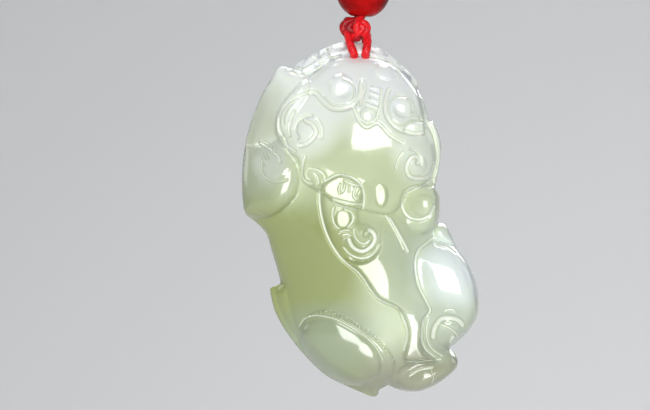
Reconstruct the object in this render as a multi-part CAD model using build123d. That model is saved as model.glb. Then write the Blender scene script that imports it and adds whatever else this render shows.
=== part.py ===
from build123d import *
from collections import namedtuple
import math
import os
import numpy as np

# A carved jade beast on a red cord, in millimetres, as it is worn: it faces -Y, X runs to the
# right of its face, and the origin is where the cord rests on the nape of the neck.

# Neck cord
cord_diameter = 1.2
neck_width = 120.0
neck_depth = 121.0
neck_drop = 192.0
nape_run = 34.0

# Knots and bead
bead_diameter = 8.0
bead_bore = 2.9
bead_sideways = 0.5
knot_width = 4.7
knot_height = 3.3
knot_sideways = -0.7
wrap_diameter = 1.6
seat_gap = 0.12

# Jade
jade_width = 35.1
jade_height = 52.5
front_depth = 9.0
back_depth = 5.0
jade_below_knot = 0.3
edge_round = 1.45
plate_rise = 0.2

# Cord hole
strand_spacing = 1.56
strand_top_spacing = 2.68
strands_sideways = -0.23
hole_clearance = 0.25
hole_slope = 22.0
hole_across = 0.497
hole_up = 0.964
rim_clearance = 0.4
back_loop = 1.9

# Facets of the carving: creases rounded by a percent of the front depth, how far round the inner rings even
# out the edge, and how close to it they start
crease_round = 2.2
cells = 44
curve_steps = 6
inner_spread = 0.25
edge_hold = 6

# Places on the jade are in percent: across from its left edge and up from its foot.
heart = (50, 38)

# Outline, clockwise from the top, one row for each lobe of the edge from notch to notch
outline_lobes = {
    "crown": [(43, 100), (49, 99.8), (55, 99), (60.5, 97.2), (66, 94.2), (71, 91)],
    "right horn": [(71, 91), (73.7, 89), (74.3, 87.5), (74, 86.8)],
    "right temple": [(74, 86.8), (76.5, 83.5), (78, 80.2), (79.3, 77.6)],
    "right ear": [(79.3, 77.6), (80.4, 77.8), (82, 75.5), (84, 71.5), (83.6, 66.5), (81.6, 59)],
    "right paw": [(81.6, 59), (83.5, 56), (83.4, 51.5), (82.4, 49)],
    "right wing": [(82.4, 49), (85.8, 48.4), (89, 44.5), (91, 41.4)],
    "right haunch": [(91, 41.4), (96, 37), (99.2, 31.5), (100, 25), (98, 21), (93, 16.6), (87.4, 13.7)],
    "right foot": [(87.4, 13.7), (90.6, 11.2), (90.3, 8), (84, 4.2), (76, 1.6), (68, 1.6), (61.6, 3.2)],
    "foot tab": [(61.6, 3.2), (58, 1.8), (57.4, 0.4), (55, 0), (51, 1)],
    "left haunch": [(51, 1), (44, 3), (35, 6.2), (26.5, 11.6), (19, 18), (14, 24), (12, 29.5), (12.2, 30.6)],
    "left spur": [(12.2, 30.6), (13.3, 31), (15.6, 31.6), (16.3, 32.2)],
    "waist": [(16.3, 32.2), (15, 35.8), (12.4, 41.5), (10.2, 46), (5.5, 49.4)],
    "left scroll": [(5.5, 49.4), (1.6, 51.5), (0.3, 55.5), (0, 60), (0.4, 66), (2, 73), (4.6, 79)],
    "left ear": [(4.6, 79), (7.8, 84.2), (11.8, 89.2), (15.2, 92.6), (18, 93.1), (20.2, 92.4)],
    "left temple": [(20.2, 92.4), (25, 94.6), (32, 97.2), (38, 99.2), (43, 100)],
}

# Rounded bases: foot and rise in percent of the front depth, bulge as a power of how deep inside a place
# lies, and slants as percent of the front depth gained in a percent of the width
Base = namedtuple("Base", "foot rise bulge slant_right slant_up outline")
bases = {
    "body": Base(8, 71, 0.6, 0, 0, [
        (20, 85), (25, 88.5), (32, 92), (38, 94.3), (47, 95.6), (56, 95), (62, 93.8), (67, 91.5),
        (71.5, 88.3), (74.3, 85.5), (76.8, 81), (78.5, 77), (80.5, 73), (81.8, 68), (81.6, 62),
        (82.8, 58), (83.6, 54), (83, 50), (82.4, 46), (86.5, 43.6), (91, 41.2), (95.7, 36.7),
        (99, 31.5), (99.8, 25), (97.8, 21.1), (93, 16.8), (87.4, 13.9), (89.6, 11.4), (89.2, 8.2),
        (83.8, 4.6), (76, 2), (68, 2), (61.5, 3.6), (55, 2.6), (49, 2.6), (42, 4.6), (34, 8),
        (27.5, 12.2), (23, 17.4), (20, 23), (18.2, 28), (16.2, 34), (13, 41.5), (10.6, 46.1),
        (5.8, 49.6), (1.9, 51.8), (0.5, 56), (0.2, 61), (0.8, 66.4), (2.6, 70.4), (8, 71.2),
        (12.4, 73), (14.2, 78), (16.4, 81.8)]),
    "left ear": Base(20, 13, 0.5, 1.7, 0, [
        (17.7, 93.4), (20.6, 92.2), (23.6, 90.3), (23, 86.5), (21.6, 83.4), (19, 80.3), (17.4, 76.9),
        (17, 73.2), (12.4, 71.9), (6.8, 70.8), (1.8, 70.9), (1.8, 73.7), (3.2, 77.9), (5.8, 82.7),
        (9.6, 87.7), (12.8, 91.6)]),
}

# Layers raised on the bases: step in percent of the front depth, rounding of its edge in percent of the width
Layer = namedtuple("Layer", "step rounding slant_right slant_up outline")
layers = {
    "head": Layer(14, 2.6, 0, 0, [
        (37.6, 94.2), (32.1, 91.7), (27, 89.2), (22.8, 86.9), (19, 84.1), (16, 81), (14.3, 77.6),
        (14.3, 74.2), (16, 71.7), (19, 69.4), (22.8, 67.2), (24.5, 64.4), (25.3, 61), (29.5, 58.7),
        (35, 56.5), (39.2, 54.5), (43.5, 53.4), (48.9, 52.8), (56, 51.7), (62.4, 51.4), (66.7, 54),
        (68.8, 57), (71.7, 58.2), (76.8, 59.9), (79.7, 61.5), (81.4, 64.4), (81.9, 68), (81, 71.7),
        (79.3, 75.1), (76.8, 77.6), (75.5, 82.1), (73.8, 85.8), (70, 89.2), (65.4, 92.5), (60.8, 94.2),
        (55.3, 95.2), (47.7, 95.5), (41.8, 95.4)]),
    "left scroll": Layer(12, 8, 0.4, 0, [
        (2.1, 70.9), (-4, 66), (-5, 58.2), (-3, 51.4), (4.6, 50.4), (8.4, 50.4), (12.7, 50.8),
        (18.1, 53.1), (22.4, 56.5), (24.1, 60.4), (23.2, 64.4), (20.3, 68), (16, 70.3), (11, 71.1),
        (6.3, 70.6)]),
    "right ear": Layer(10, 3, 0, 0, [
        (79.4, 77.4), (81, 77.5), (83.1, 75.1), (84.2, 70.8), (83.9, 66.6), (82.6, 62.4), (81.8, 59.6),
        (80.6, 61), (82.3, 65.2), (82.3, 69.4), (81, 73.7)]),
    "right paw": Layer(22, 8, 2.1, 0, [
        (67.5, 57), (70.9, 58.5), (75.1, 59.3), (80.2, 59.6), (82.9, 58), (84.2, 55.4), (84, 52),
        (82.8, 49), (79.3, 46.6), (74.3, 46.1), (69.6, 48.3), (67.1, 52), (66.7, 54.8)]),
    "right wing": Layer(12, 3, 0, 0, [
        (82.5, 48.8), (86.1, 48.1), (88.2, 45.6), (90.3, 42.2), (86.5, 43.2), (82.3, 44.1), (80.6, 46.3)]),
    "foreleg": Layer(15, 4, -0.25, -0.5, [
        (42.5, 38.9), (45.6, 37.3), (48.9, 35.6), (51.9, 33.1), (54.9, 30), (58.2, 27.7), (63.3, 26.3),
        (66.7, 24.9), (69.6, 21.5), (70.5, 18.2), (69.6, 14.5), (69.2, 10.8), (77.2, 10.8),
        (81.9, 10.8), (77.2, 13.1), (75.1, 15.9), (75.1, 19.3), (75.9, 22.1), (78.5, 24.9),
        (75.9, 28.3), (73, 32.8), (72.2, 37.9), (73.4, 41.3), (76.8, 43.2), (79.3, 45.2), (74.3, 45.8),
        (68.8, 48.6), (65, 51.1), (60.4, 51.5), (58.4, 47), (57.4, 41.6), (53.4, 38.7), (48.4, 38)]),
    "shin": Layer(6, 3, -0.2, 0, [
        (65.8, 24.9), (68.8, 24.4), (71.7, 23.5), (74.3, 21.3), (75.1, 18.2), (74.3, 15.1),
        (75.9, 12.5), (78.1, 10.8), (73, 10.3), (69.2, 10.8), (68.8, 13.1), (70, 16.5), (70, 19.9),
        (67.9, 22.4)]),
    "right haunch": Layer(20, 10, 1.7, 0.1, [
        (80.2, 43.8), (85.2, 43.5), (90.3, 41.8), (94.2, 39), (97.8, 35), (100.2, 30.6), (100.8, 26.3),
        (99.3, 22.1), (95.5, 18.7), (90.7, 16.2), (86.9, 13.9), (83.5, 13.9), (80.6, 15.9),
        (78.9, 19.3), (79.3, 23), (78.1, 26.6), (75.1, 30.6), (73.4, 35.1), (73.4, 39), (75.1, 41.5)]),
    "right foot": Layer(16, 6, 1.2, -2.4, [
        (70, 9.7), (75.1, 10.3), (81.4, 9.7), (86.5, 12.5), (90.2, 11.7), (91.2, 9.2), (88.2, 5.8),
        (82.6, 3.6), (75.9, 1.4), (70.9, 1.1), (66.7, 2.6), (65, 5.8), (66.7, 8.3)]),
    "left haunch rim": Layer(7, 4, 0, 0, [
        (25.7, 21), (27.8, 22.7), (32.1, 24.1), (37.1, 23.8), (43.5, 22.1), (48.9, 20.1), (54, 17.9),
        (58.2, 15.4), (61.6, 13.1), (63.7, 10.8), (64.1, 8), (61.6, 4.6), (56.1, 2.7), (48.9, 1.9),
        (41.4, 3.4), (33.8, 6.4), (27.8, 10.2), (24, 14.2), (23.8, 17.9)]),
    "left haunch": Layer(13, 7, -0.3, -0.35, [
        (25.7, 18.7), (28.7, 21), (33.8, 21.8), (39.7, 21), (45.6, 19), (51.5, 16.5), (56.1, 13.4),
        (58.2, 10), (57.4, 6.3), (52.3, 3.8), (45.6, 3.2), (38.8, 5.1), (32.1, 8.2), (27, 11.9),
        (24.9, 15.6)]),
    "beard": Layer(7, 3, 0, 0, [
        (33.8, 59.3), (33.3, 55.4), (34.2, 51.1), (36.3, 46.3), (39.2, 42.4), (43.5, 39.6),
        (48.5, 38.5), (53.6, 39.3), (57, 41.8), (57.8, 44.6), (56.1, 47.2), (52.7, 48.6), (49.4, 49.2),
        (48.9, 52.5), (50.6, 56.5), (49.8, 59.9), (43.5, 62.4), (38, 61.5)]),
}

# Broad swells and dips: place in percent, half sizes in percent of the width, rise in percent of the depth
Swell = namedtuple("Swell", "across up half_width half_height rise")
swells = {
    "muzzle": Swell(62, 75, 34, 26, 14),
    "right cheek": Swell(75, 73, 20, 30, 12),
    "mouth": Swell(45, 57, 24, 24, -9),
    "chest": Swell(64, 34, 24, 32, 9),
    "haunch": Swell(92, 39, 17, 24, 9),
    "shin root": Swell(72, 18, 20, 20, 7),
}

# Bosses: place in percent, half sizes in percent of the width, lean in degrees, rise in percent of the depth
Boss = namedtuple("Boss", "across up half_width half_height lean rise")
bosses = {
    "left eye": Boss(42, 87, 5.4, 5.4, 0, 9),
    "right eye": Boss(68, 81.2, 5, 5.4, 10, 9),
    "nose": Boss(53.2, 79, 4.2, 3.6, 0, 10),
    "forehead": Boss(61, 92, 6, 4.5, -30, 5),
    "left cheek": Boss(26.5, 75, 6.5, 8.5, 0, 8),
    "right cheek": Boss(72, 66, 6, 6.6, 0, 8),
    "left scroll eye": Boss(14, 64.8, 6.2, 6.2, 0, 8),
    "upper teeth": Boss(45, 57.5, 6.2, 4.6, -12, 10),
    "tongue": Boss(42.5, 50, 4.4, 4.6, 0, 12),
    "tongue curl": Boss(51, 44.6, 6, 6, 0, 9),
    "right mouth corner": Boss(58.6, 56.5, 2.4, 3.4, -15, 7),
    "left mouth corner": Boss(29.5, 62.5, 4.2, 4.6, 20, 7),
    "right haunch curl": Boss(86, 17.6, 7, 5.8, 0, 8),
    "paw claw": Boss(76, 54, 4.6, 4.6, 0, 8),
}

# Cut lines: depth in percent of the front depth, half width in percent of the width
Cut = namedtuple("Cut", "depth half_width route")
cuts = {
    "left eye socket": Cut(9, 2.2, [
        (31, 87), (34, 83), (37.5, 81), (41.5, 80.4), (45.5, 81.2), (48.5, 83.5), (50, 87), (49.5, 90)]),
    "right eye socket": Cut(9, 2.2, [
        (62, 87), (60.5, 83.5), (60.6, 79.5), (63, 76.5), (67, 75), (72, 74.5), (77, 74.6)]),
    "left brow": Cut(9, 2.2, [
        (33, 85.5), (30.5, 86), (27, 85.8), (22.5, 83.8), (18.5, 81), (16.8, 77.5), (17.5, 73),
        (20, 69.5), (23, 68)]),
    "nose bridge left": Cut(6, 1.5, [
        (49.5, 92), (50.3, 87), (49.5, 83), (46, 80)]),
    "nose bridge right": Cut(6, 1.5, [
        (58.5, 87), (58, 83), (57.4, 80)]),
    "nostrils": Cut(8, 1.8, [
        (46.5, 80), (48, 77), (51.5, 75.5), (55, 75.4), (58, 77), (61, 75), (63.5, 73.2), (67, 71.5)]),
    "left mouth corner": Cut(9, 2, [
        (26.5, 68), (25.6, 65), (25.4, 62.5), (26.5, 60.5), (29, 59.5)]),
    "mouth": Cut(9, 1.9, [
        (34.5, 60.5), (38, 57), (40, 55.2), (45, 54.6), (50.5, 54.2)]),
    "tongue root": Cut(7, 1.6, [
        (38, 55), (38, 50), (40.5, 46.8)]),
    "beard": Cut(10, 2.2, [
        (33, 58), (33.4, 54), (34.8, 49.5), (36.5, 45.5), (38.5, 42), (42, 39.2), (45.5, 37.2),
        (49, 35.5), (52, 33.2), (55, 30.4), (58.5, 28), (62.5, 26.3), (65.5, 25.8)]),
    "right jaw": Cut(7, 1.8, [
        (79.5, 60.5), (77, 59.8), (73, 58.4), (70, 57.4), (68, 56.6)]),
    "right head": Cut(8, 1.5, [
        (75, 78), (77.3, 77.3), (79, 75.5), (80.8, 72.5), (81.8, 69), (81.5, 65), (80.2, 62.5),
        (78.5, 60.5)]),
    "shoulder fold": Cut(6, 1.8, [
        (61, 50.5), (63.5, 48.5), (66.5, 44.7), (69, 42)]),
    "right haunch": Cut(10, 2, [
        (78.5, 43.8), (75, 42), (73, 39.8), (72.6, 37), (73, 33.6), (74.6, 30.5), (77, 27.6), (79, 24.7),
        (77, 22.3), (75.2, 20), (75.4, 16), (77.6, 12.8), (81, 11.2), (84.5, 10.8)]),
    "left haunch": Cut(8, 2, [
        (28, 22.6), (33, 24.2), (38, 23.4), (44, 21.8), (49, 19.8), (54, 17.8), (58.5, 15.2), (62, 12.8),
        (64, 10.8)]),
    "left scroll foot": Cut(6, 1.8, [
        (4.6, 53.4), (8, 52), (12, 50.3)]),
    "left ear": Cut(6, 1.6, [
        (23.5, 89.8), (20.8, 87.5), (18, 84.5), (15, 81.4), (13, 77.8), (11.8, 73.7), (11, 71.4)]),
    "tail": Cut(6, 1.8, [
        (66.5, 24.5), (69.5, 20), (69.8, 15), (69, 11)]),
    "foot": Cut(6, 1.8, [
        (70, 6.6), (74, 7.8), (78, 8.4)]),
}

# Scrolls: place in percent, radii and half width in percent of the width, start in degrees, depth in
# percent of the front depth
Scroll = namedtuple("Scroll", "across up outer inner turns start depth half_width")
scrolls = {
    "left cheek": Scroll(26.6, 75, 6, 1.8, 1.5, 250, 9, 1.7),
    "right cheek": Scroll(72.3, 66, 5.6, 1.6, 1.4, 300, 9, 1.6),
    "left scroll": Scroll(14, 65, 7, 2.4, 1.3, 100, 8, 1.8),
    "right haunch": Scroll(86.2, 17.6, 5.8, 1.8, 1.4, 230, 8, 1.6),
    "tongue": Scroll(51.4, 45, 5, 1.6, 1.2, 130, 9, 1.6),
    "right paw": Scroll(75.4, 54, 6.2, 3, 0.9, 90, 8, 1.6),
}


def curve(points, closed=False):
    """Points along a smooth curve through the given ones."""
    given = [np.array(p, float) for p in points]
    count = len(given)
    spans = count if closed else count - 1
    line = []
    for i in range(spans):
        a, b, c, d = (given[(i + k) % count] if closed else given[min(max(i + k, 0), count - 1)]
                      for k in (-1, 0, 1, 2))
        for t in np.arange(curve_steps) / curve_steps:
            line.append(b + 0.5 * t * (c - a + t * (2 * a - 5 * b + 4 * c - d + t * (3 * (b - c) + d - a))))
    if not closed:
        line.append(given[-1])
    return np.array(line)


def to_mm(points):
    """Percent places as millimetres from the jade's left edge and foot."""
    return np.array(points, float) * (jade_width / 100, jade_height / 100)


def line_distance(places, line):
    """Distance from each place to an open line of points."""
    nearest = np.full(len(places), np.inf)
    for a, b in zip(line, line[1:]):
        run = b - a
        share = np.clip((places - a) @ run / (run @ run), 0, 1)
        nearest = np.minimum(nearest, np.linalg.norm(places - a - share[:, None] * run, axis=1))
    return nearest


def soft_depth(places, line):
    """How deep each place lies inside a closed line: the distance near it, rounded further in, 0 outside."""
    x, z = places.T
    odd = np.zeros(len(places), bool)
    pull = np.zeros(len(places))
    for (ax, az), (bx, bz) in zip(line, np.roll(line, -1, axis=0)):
        length = math.hypot(bx - ax, bz - az)
        along = ((x - ax) * (bx - ax) + (z - az) * (bz - az)) / length
        rest = length - along
        square = np.maximum((x - ax) ** 2 + (z - az) ** 2 - along**2, 1e-6)
        pull += (rest / np.sqrt(square + rest**2) + along / np.sqrt(square + along**2)) / square
        if az != bz:
            odd ^= ((az > z) != (bz > z)) & (x < (bx - ax) * (z - az) / (bz - az) + ax)
    return np.where(odd, np.sqrt(2 / pull), 0)


def shoulder(share):
    """Quarter circle: 0 at the edge, 1 from the end of the shoulder inwards."""
    return np.sqrt(1 - (1 - np.clip(share, 0, 1)) ** 2)


def soft_highest(first, second):
    """The higher of two heights, rounded where they meet."""
    meeting = np.maximum(crease_round - np.abs(first - second), 0)
    return np.maximum(first, second) + meeting**2 / (4 * crease_round)


def on_circle(radius, angle):
    return np.stack([radius * np.cos(angle), radius * np.sin(angle)], axis=1)


def scroll_route(scroll):
    """Points of a spiral in millimetres, from its outer end to its eye."""
    share = np.linspace(0, 1, int(18 * scroll.turns))
    angle = np.radians(scroll.start) + share * scroll.turns * 2 * math.pi
    radius = (scroll.outer + (scroll.inner - scroll.outer) * share) * jade_width / 100
    return to_mm((scroll.across, scroll.up)) + on_circle(radius, angle)


def cut_depth(places, line, cut):
    """Depth at each place of a round-edged cut along a line."""
    reach = cut.half_width * jade_width / 100
    near = np.all((places > line.min(axis=0) - reach) & (places < line.max(axis=0) + reach), axis=1)
    share = np.zeros(len(places))
    share[near] = np.clip(1 - line_distance(places[near], line) / reach, 0, 1)
    return cut.depth * front_depth / 100 * share**2


def boss_height(places, boss):
    """Height at each place of an oval dome."""
    offset = places - to_mm((boss.across, boss.up))
    turn = math.radians(boss.lean)
    along = offset @ (math.cos(turn), math.sin(turn)) / (boss.half_width * jade_width / 100)
    over = offset @ (-math.sin(turn), math.cos(turn)) / (boss.half_height * jade_width / 100)
    return boss.rise * front_depth / 100 * np.sqrt(np.clip(1 - along**2 - over**2, 0, 1))


edge_line = np.concatenate([curve(to_mm(lobe))[:-1] for lobe in outline_lobes.values()])


def slanted(places, line, rise, form):
    """A form's rise in percent of the front depth, growing along its slants from its middle."""
    offset = (places - line.mean(axis=0)) * 100 / jade_width
    return rise + offset @ (form.slant_right, form.slant_up)


def form_height(places):
    """The bases, the layers and the swells at each place, rounded off towards the jade's edge."""
    edge_depth = soft_depth(places, edge_line)
    height = 100 * plate_rise * shoulder(edge_depth / edge_round)
    for base in bases.values():
        line = curve(to_mm(base.outline), closed=True)
        depth = soft_depth(places, line)
        rise = base.foot + slanted(places, line, base.rise, base) * (depth / depth.max()) ** base.bulge
        height = np.where(depth > 0, soft_highest(height, rise), height)
    for layer in layers.values():
        line = curve(to_mm(layer.outline), closed=True)
        share = shoulder(soft_depth(places, line) * 100 / jade_width / layer.rounding)
        height += slanted(places, line, layer.step, layer) * share
    for swell in swells.values():
        offset = (places - to_mm((swell.across, swell.up))) * 100 / jade_width
        distance = np.hypot(*(offset / (swell.half_width, swell.half_height)).T)
        height += swell.rise * np.clip(1 - distance**2, 0, 1) ** 2
    return np.minimum(height, 100 * shoulder(edge_depth / (3 * edge_round))) * front_depth / 100


def carve(places, form):
    """The softened forms with bosses raised on them and lines cut into them."""
    height = form + sum(boss_height(places, boss) for boss in bosses.values())
    for cut in cuts.values():
        height -= cut_depth(places, curve(to_mm(cut.route)), cut)
    for scroll in scrolls.values():
        height -= cut_depth(places, scroll_route(scroll), scroll)
    return height


def square_to_disc(u, v):
    """Concentric map of the square from -1 to 1 to the unit disc, as radius and angle."""
    wide = abs(u) >= abs(v)
    if u == 0 and v == 0:
        return 0.0, 0.0
    if wide:
        return abs(u), math.pi / 4 * v / u + (math.pi if u < 0 else 0)
    return abs(v), math.pi / 2 - math.pi / 4 * u / v + (math.pi if v < 0 else 0)


def edge_radius(angles):
    """Distance from the heart of the jade to its edge in each direction."""
    offset = edge_line - to_mm(heart)
    return np.interp(angles, np.arctan2(offset[:, 1], offset[:, 0]), np.hypot(*offset.T), period=2 * math.pi)


def jade_places():
    """Grid of places that fills the outline, its border on the edge and its inner rings smoother."""
    steps = np.linspace(-1, 1, cells + 1)
    radius, angle = np.array([square_to_disc(u, v) for v in steps for u in steps]).T
    turns = np.linspace(-inner_spread, inner_spread, 9)
    smooth = sum(edge_radius(angle + turn) for turn in turns) / len(turns)
    reach = radius * smooth + radius**edge_hold * (edge_radius(angle) - smooth)
    return to_mm(heart) + on_circle(reach, angle)


def jade_body():
    """The carved body, not drilled yet, its edge in the plane y = 0."""
    places = jade_places()
    form = form_height(places)
    depths = {"front": -carve(places, form), "back": form * back_depth / front_depth}
    side = cells + 1

    def corner(index, facing):
        across, up = places[index]
        row, column = divmod(index, side)
        on_edge = row in (0, cells) or column in (0, cells)
        depth = 0 if on_edge else depths[facing][index]
        return Vector(jade_left + across, depth, jade_foot + up)

    faces = []
    for row in range(cells):
        for column in range(cells):
            first = row * side + column
            quad = (first, first + 1, first + side + 1, first + side)
            outward = (row < cells / 2) == (column < cells / 2)
            threes = ((0, 1, 2), (0, 2, 3)) if outward else ((0, 1, 3), (1, 2, 3))
            for facing in depths:
                for three in threes:
                    corners = [corner(quad[k], facing) for k in three]
                    faces.append(Face(Wire.make_polygon(corners, close=True)))
    return Solid(Shell(faces))


def corner_radii(points):
    """The largest radius that the runs beside each corner of a cord's route allow."""
    radii = []
    for before, at, after in zip(points, points[1:], points[2:]):
        back, ahead = Vector(*at) - Vector(*before), Vector(*after) - Vector(*at)
        half_turn = math.radians(back.get_angle(ahead)) / 2
        radii.append(0.45 * min(back.length, ahead.length) / math.tan(half_turn))
    return radii


def cord(name, points):
    """A tube of the cord's diameter along straight runs and tangent arcs."""
    radii = corner_radii(points)
    path = FilletPolyline(*points, radius=radii)
    section = Plane(origin=path @ 0, z_dir=path % 0) * Circle(cord_diameter / 2)
    tube = sweep(section, path=path)
    share = tube.volume / (math.pi * cord_diameter**2 / 4 * path.length)
    print(name, "length", round(path.length, 1), "volume share", round(share, 4),
          "radii", [round(r, 1) for r in radii])
    return tube


def knot(centre, tilts):
    """A tight knot: wraps of cord round a core whose ends are flat."""
    wrap_radius = (knot_width - wrap_diameter) / 2
    body = Cylinder(wrap_radius, knot_height)
    step = (knot_height - wrap_diameter) / (len(tilts) - 1)
    for place, tilt in enumerate(tilts):
        height = wrap_diameter / 2 - knot_height / 2 + place * step
        body += Pos(0, 0, height) * Rot(0, tilt, 0) * Torus(wrap_radius, wrap_diameter / 2)
    ends = Box(2 * knot_width, 2 * knot_width, knot_height)
    return Pos(*centre) * (body & ends)


def strand_pair(centre_across, low, high):
    """Two straight strands side by side."""
    offset = (cord_diameter + seat_gap) / 2
    length = high - low
    return [Pos(centre_across + side * offset, front_plane, (low + high) / 2)
            * Cylinder(cord_diameter / 2, length) for side in (-1, 1)]


# Heights, from the nape down to the jade
front_plane = -neck_depth
upper_knot_top = -neck_drop
bead_height = math.sqrt(bead_diameter**2 - bead_bore**2)
bead_top = upper_knot_top - knot_height - seat_gap
bead_low = bead_top - bead_height
bead_centre = (bead_top + bead_low) / 2
lower_knot_top = bead_low - seat_gap
lower_knot_low = lower_knot_top - knot_height
jade_top = lower_knot_low - jade_below_knot
jade_foot = jade_top - jade_height
jade_left = -hole_across * jade_width
hole_height = jade_foot + hole_up * jade_height
slant_gap = seat_gap + cord_diameter / 3

# Jade with its hole, a slot wide enough for two strands that slopes down to the back
rim_front = plate_rise * front_depth + rim_clearance + cord_diameter / 2
exit_back = 0.64 * back_depth
hole_size = cord_diameter + 2 * hole_clearance
slot = SlotOverall(strand_spacing + hole_size, hole_size)
drill = Pos(0, -rim_front, hole_height) * Rot(-90 - hole_slope, 0, 0)
jade_pixiu = Pos(0, front_plane, 0) * (jade_body() - drill * extrude(slot, 3 * front_depth, both=True))

# Loop strands: down the front of the rim, through the hole and up the back to the knot
knot_centre = (knot_sideways, front_plane, (lower_knot_top + lower_knot_low) / 2)
exit_height = hole_height - math.tan(math.radians(hole_slope)) * (exit_back + rim_front)
loop_cords = {}
for name, side in (("loop_cord_left", -1), ("loop_cord_right", 1)):
    top_across = strands_sideways + side * strand_top_spacing / 2
    low_across = side * strand_spacing / 2
    rows = [
        (top_across, -1.7 * cord_diameter, lower_knot_low - slant_gap),
        (low_across, -rim_front, hole_height),
        (low_across, exit_back, exit_height),
        (low_across, exit_back + 0.64 * back_loop, exit_height + 0.77 * back_loop),
        (top_across, 1.2 * cord_diameter, lower_knot_low - slant_gap),
    ]
    loop_cords[name] = cord(name, [(x, front_plane + y, z) for x, y, z in rows])

# Neck cord: a whole loop from the upper knot round the nape and back, uneven as a worn cord is
exit_across = (cord_diameter + seat_gap) / 2
half_route = [
    (exit_across, front_plane, upper_knot_top + slant_gap),
    (0.40 * neck_width / 2, -0.975 * neck_depth, -0.73 * neck_drop),
    (0.74 * neck_width / 2, -0.876 * neck_depth, -0.49 * neck_drop),
    (0.97 * neck_width / 2, -0.678 * neck_depth, -0.29 * neck_drop),
    (1.00 * neck_width / 2, -0.413 * neck_depth, -0.135 * neck_drop),
    (0.77 * neck_width / 2, -0.150 * neck_depth, -0.042 * neck_drop),
    (nape_run / 2, cord_diameter / 2, 0),
]
neck_route = [(-x, y, z) for x, y, z in half_route] + half_route[::-1]
neck_cord = cord("neck_cord", neck_route)

# Bead and knots
bead_place = (bead_sideways, front_plane, bead_centre)
bead = Pos(*bead_place) * (Sphere(bead_diameter / 2) - Cylinder(bead_bore / 2, 2 * bead_diameter))
bead_cords = strand_pair(bead_sideways, bead_low, bead_top)

nodes = {
    "jade_pixiu": jade_pixiu,
    **loop_cords,
    "lower_knot": knot(knot_centre, (-16, 14, -12)),
    "bead": bead,
    "bead_cord_left": bead_cords[0],
    "bead_cord_right": bead_cords[1],
    "upper_knot": knot((0, front_plane, upper_knot_top - knot_height / 2), (14, -12)),
    "neck_cord": neck_cord,
}

os.makedirs("parts", exist_ok=True)
for name, shape in nodes.items():
    export_step(shape, f"parts/{name}.step")
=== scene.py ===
import math
import bpy
import numpy as np
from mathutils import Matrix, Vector
from mathutils.geometry import delaunay_2d_cdt


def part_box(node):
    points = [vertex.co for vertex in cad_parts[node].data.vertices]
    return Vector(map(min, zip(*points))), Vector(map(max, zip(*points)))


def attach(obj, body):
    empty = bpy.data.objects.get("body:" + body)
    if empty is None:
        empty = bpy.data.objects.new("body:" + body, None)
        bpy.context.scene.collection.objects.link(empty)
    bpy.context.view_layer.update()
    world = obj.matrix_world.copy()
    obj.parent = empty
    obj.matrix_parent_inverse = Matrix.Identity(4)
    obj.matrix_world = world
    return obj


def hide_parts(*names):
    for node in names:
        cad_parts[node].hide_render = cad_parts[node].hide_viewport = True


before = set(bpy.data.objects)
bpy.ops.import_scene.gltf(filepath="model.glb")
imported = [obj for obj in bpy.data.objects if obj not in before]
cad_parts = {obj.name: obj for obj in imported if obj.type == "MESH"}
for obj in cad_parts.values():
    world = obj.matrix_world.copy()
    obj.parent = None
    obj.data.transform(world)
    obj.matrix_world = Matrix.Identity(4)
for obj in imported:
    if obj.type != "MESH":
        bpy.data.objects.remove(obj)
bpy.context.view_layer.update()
print("frame loaded")

perMetre = 1000  # millimetres in a metre
jadeLow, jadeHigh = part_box("jade_pixiu")
beadLow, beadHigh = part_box("bead")
jadeWidth = jadeHigh.x - jadeLow.x
jadeHeight = jadeHigh.z - jadeLow.z
middlePlane = (beadLow.y + beadHigh.y) / 2  # of the jade's edge, the bead and the knots

# Camera, square on to the carved face through a long lens
view = {
    "pixelsWide": 650,
    "pixelsHigh": 410,
    "pixel": 0.000148,  # metres of the object behind one photo pixel
    "holeColumn": 359.75,  # photo column of x = 0
    "footRow": 396.5,  # photo row of the jade's foot
    "distance": 0.62,
    "nearest": 0.01,
    "sensor": 36,
}


def addObject(name, data):
    thing = bpy.data.objects.new(name, data)
    bpy.context.collection.objects.link(thing)
    return thing


def addCamera():
    across = (view["pixelsWide"] / 2 - view["holeColumn"]) * view["pixel"]
    up = jadeLow.z + (view["footRow"] - view["pixelsHigh"] / 2) * view["pixel"]
    lens = bpy.data.cameras.new("photoView")
    lens.sensor_width = view["sensor"]
    lens.lens = view["sensor"] * view["distance"] / (view["pixelsWide"] * view["pixel"])
    lens.clip_start = view["nearest"]
    camera = addObject("photoView", lens)
    camera.location = (across, middlePlane - view["distance"], up)
    camera.rotation_euler = (math.pi / 2, 0, 0)
    bpy.context.scene.camera = camera


addCamera()
print("camera placed")


# Shader maths: a socket that expressions can be written with
class Socket:
    def __init__(self, tree, output):
        self.tree = tree
        self.output = output

    def maths(self, operation, *values, clamp=False):
        return addNode(self.tree, "ShaderNodeMath", {"operation": operation, "use_clamp": clamp}, values)

    def __add__(self, other):
        return self.maths("ADD", self, other)

    def __sub__(self, other):
        return self.maths("SUBTRACT", self, other)

    def __rsub__(self, other):
        return self.maths("SUBTRACT", other, self)

    def __mul__(self, other):
        return self.maths("MULTIPLY", self, other)

    def __truediv__(self, other):
        return self.maths("DIVIDE", self, other)

    __radd__, __rmul__ = __add__, __mul__

    def clamped(self):
        return self.maths("ADD", self, 0, clamp=True)

    def step(self, low, high):  # 0 below low, 1 above high, smooth between
        return addNode(self.tree, "ShaderNodeMapRange", {"interpolation_type": "SMOOTHSTEP"},
                       {"Value": self, "From Min": low, "From Max": high})


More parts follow.
